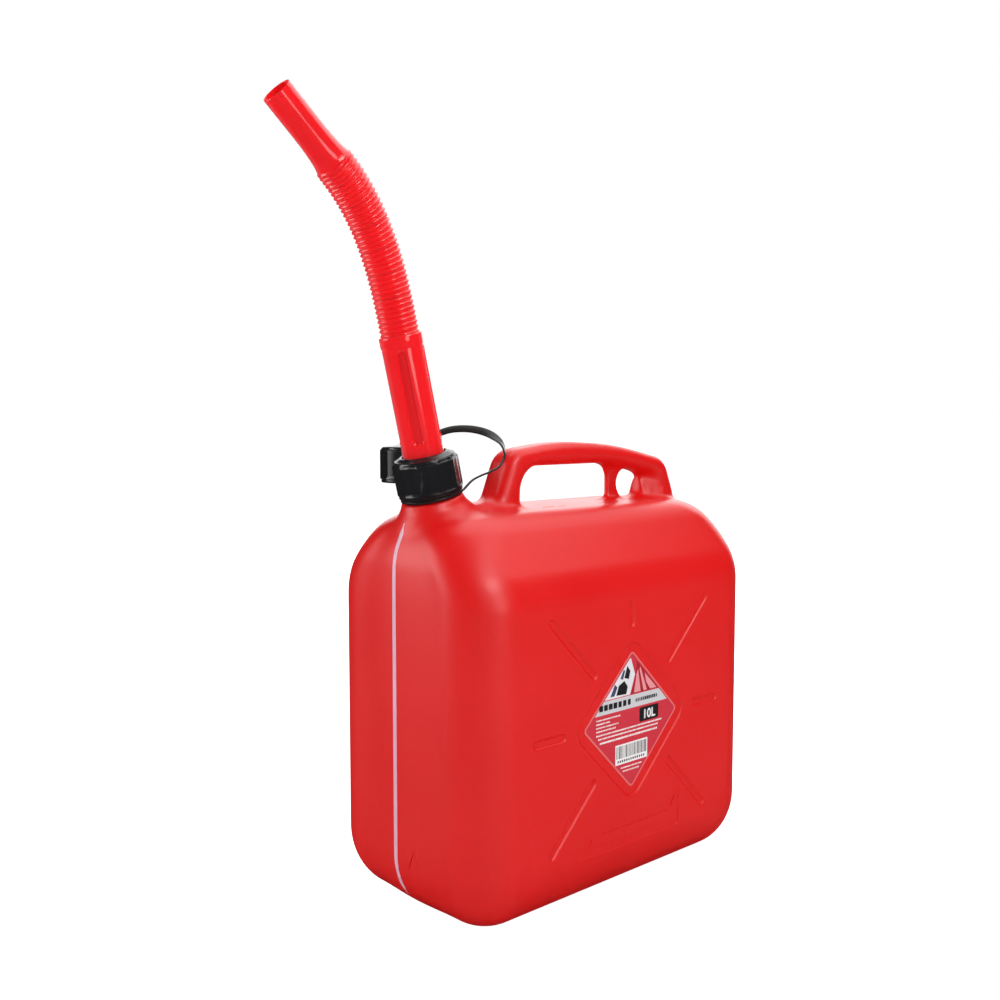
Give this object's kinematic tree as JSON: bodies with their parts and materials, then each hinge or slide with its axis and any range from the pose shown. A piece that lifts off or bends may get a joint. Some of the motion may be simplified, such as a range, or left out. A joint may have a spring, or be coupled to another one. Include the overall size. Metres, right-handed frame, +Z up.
{
  "type": "jerry can",
  "caption": "Upright plastic jerry can with a moulded carrying handle, a leaning screw neck, a flexible pouring spout and a tethered screw cap.",
  "frame": {"origin": "middle of the base, on the surface the can stands on", "axes": "+Z up; X along the can's length with the neck and spout at -X; Y across its width, the labelled side at -Y"},
  "size_m": [0.373, 0.161, 0.5253],
  "materials": {
    "can_red": "blow-moulded red polyethylene, satin",
    "spout_red": "soft red polyethylene, glossy",
    "cap_black": "injection-moulded black polypropylene",
    "seal_rubber": "smooth",
    "stripe_natural": "natural polyethylene, translucent, pink from the red behind it",
    "label_film": "printed film"
  },
  "bodies": {
    "can": {"can_base": "can_red", "can_sides": "can_red", "can_top": "can_red", "can_handle": "can_red", "can_neck": "can_red", "view_stripe": "stripe_natural", "side_label": "label_film"},
    "gasket": {"neck_gasket": "seal_rubber"},
    "collar": {"collar_nut": "cap_black"},
    "spout_base": {"spout_tube": "spout_red"},
    "spout_link_1": {"bellows_1": "spout_red"},
    "spout_link_2": {"bellows_2": "spout_red"},
    "spout_link_3": {"bellows_3": "spout_red"},
    "spout_link_4": {"bellows_4": "spout_red"},
    "spout_link_5": {"bellows_5": "spout_red"},
    "spout_link_6": {"bellows_6": "spout_red"},
    "spout_link_7": {"bellows_7": "spout_red"},
    "spout_tip": {"spout_nozzle": "spout_red"},
    "tether": {"tether_ring": "cap_black", "tether_strap_1": "cap_black"},
    "strap_mid": {"tether_strap_2": "cap_black"},
    "strap_end": {"tether_strap_3": "cap_black", "tether_eyelet": "cap_black"},
    "cap": {"screw_cap": "cap_black", "cap_seal": "seal_rubber"}
  },
  "joints": [
    {"name": "spout_lift", "type": "slide", "parent": "can", "child": "gasket", "axis": [-0.2334, 0, 0.9724], "range_m": [0, 0.009]},
    {"name": "collar_turn", "type": "hinge", "parent": "gasket", "child": "collar", "pos_m": [-0.1113, 0, 0.28], "axis": [-0.2334, 0, 0.9724], "range_deg": [0, 540]},
    {"name": "spout_swivel", "type": "hinge", "parent": "gasket", "child": "spout_base", "pos_m": [-0.1113, 0, 0.28], "axis": [-0.2334, 0, 0.9724], "continuous": true},
    {"name": "spout_flex_1", "type": "hinge", "parent": "spout_base", "child": "spout_link_1", "pos_m": [-0.13604, 0, 0.38307], "axis": [0, -1, 0], "range_deg": [-0.639, 0.032]},
    {"name": "spout_flex_2", "type": "hinge", "parent": "spout_link_1", "child": "spout_link_2", "pos_m": [-0.1398, 0, 0.39833], "axis": [0, -1, 0], "range_deg": [-3.77, 0.09]},
    {"name": "spout_flex_3", "type": "hinge", "parent": "spout_link_2", "child": "spout_link_3", "pos_m": [-0.14405, 0, 0.41346], "axis": [0, -1, 0], "range_deg": [-6.5, 0.15]},
    {"name": "spout_flex_4", "type": "hinge", "parent": "spout_link_3", "child": "spout_link_4", "pos_m": [-0.14915, 0, 0.42832], "axis": [0, -1, 0], "range_deg": [-8.93, 0.2]},
    {"name": "spout_flex_5", "type": "hinge", "parent": "spout_link_4", "child": "spout_link_5", "pos_m": [-0.15539, 0, 0.44274], "axis": [0, -1, 0], "range_deg": [-11.17, 0.24]},
    {"name": "spout_flex_6", "type": "hinge", "parent": "spout_link_5", "child": "spout_link_6", "pos_m": [-0.163, 0, 0.45649], "axis": [0, -1, 0], "range_deg": [-13.29, 0.28]},
    {"name": "spout_flex_7", "type": "hinge", "parent": "spout_link_6", "child": "spout_link_7", "pos_m": [-0.17216, 0, 0.46926], "axis": [0, -1, 0], "range_deg": [-15.3, 0.3]},
    {"name": "spout_flex_8", "type": "hinge", "parent": "spout_link_7", "child": "spout_tip", "pos_m": [-0.18293, 0, 0.4807], "axis": [0, -1, 0], "range_deg": [-8.41, 0.18]},
    {"name": "tether_swivel", "type": "hinge", "parent": "can", "child": "tether", "pos_m": [-0.1113, 0, 0.28], "axis": [-0.2334, 0, 0.9724], "range_deg": [-10, 120]},
    {"name": "strap_bend_1", "type": "hinge", "parent": "tether", "child": "strap_mid", "pos_m": [-0.0644, -0.0206, 0.3038], "axis": [0, 0, 1], "range_deg": [-14, 2]},
    {"name": "strap_bend_2", "type": "hinge", "parent": "strap_mid", "child": "strap_end", "pos_m": [-0.067, 0.016, 0.3216], "axis": [0, 0, 1], "range_deg": [-14, 2]},
    {"name": "cap_spin", "type": "hinge", "parent": "strap_end", "child": "cap", "pos_m": [-0.0934, 0.0442, 0.2844], "axis": [0, 0, 1], "continuous": true}
  ],
  "couplings": [
    {"joint": "spout_lift", "follows": "collar_turn", "m_per_rad": 0.00095493},
    {"joint": "spout_flex_1", "follows": "spout_flex_7", "ratio": 0.04045},
    {"joint": "spout_flex_2", "follows": "spout_flex_7", "ratio": 0.24541},
    {"joint": "spout_flex_3", "follows": "spout_flex_7", "ratio": 0.42379},
    {"joint": "spout_flex_4", "follows": "spout_flex_7", "ratio": 0.58202},
    {"joint": "spout_flex_5", "follows": "spout_flex_7", "ratio": 0.72869},
    {"joint": "spout_flex_6", "follows": "spout_flex_7", "ratio": 0.86737},
    {"joint": "spout_flex_8", "follows": "spout_flex_7", "ratio": 0.5482},
    {"joint": "strap_bend_2", "follows": "strap_bend_1", "ratio": 1}
  ]
}
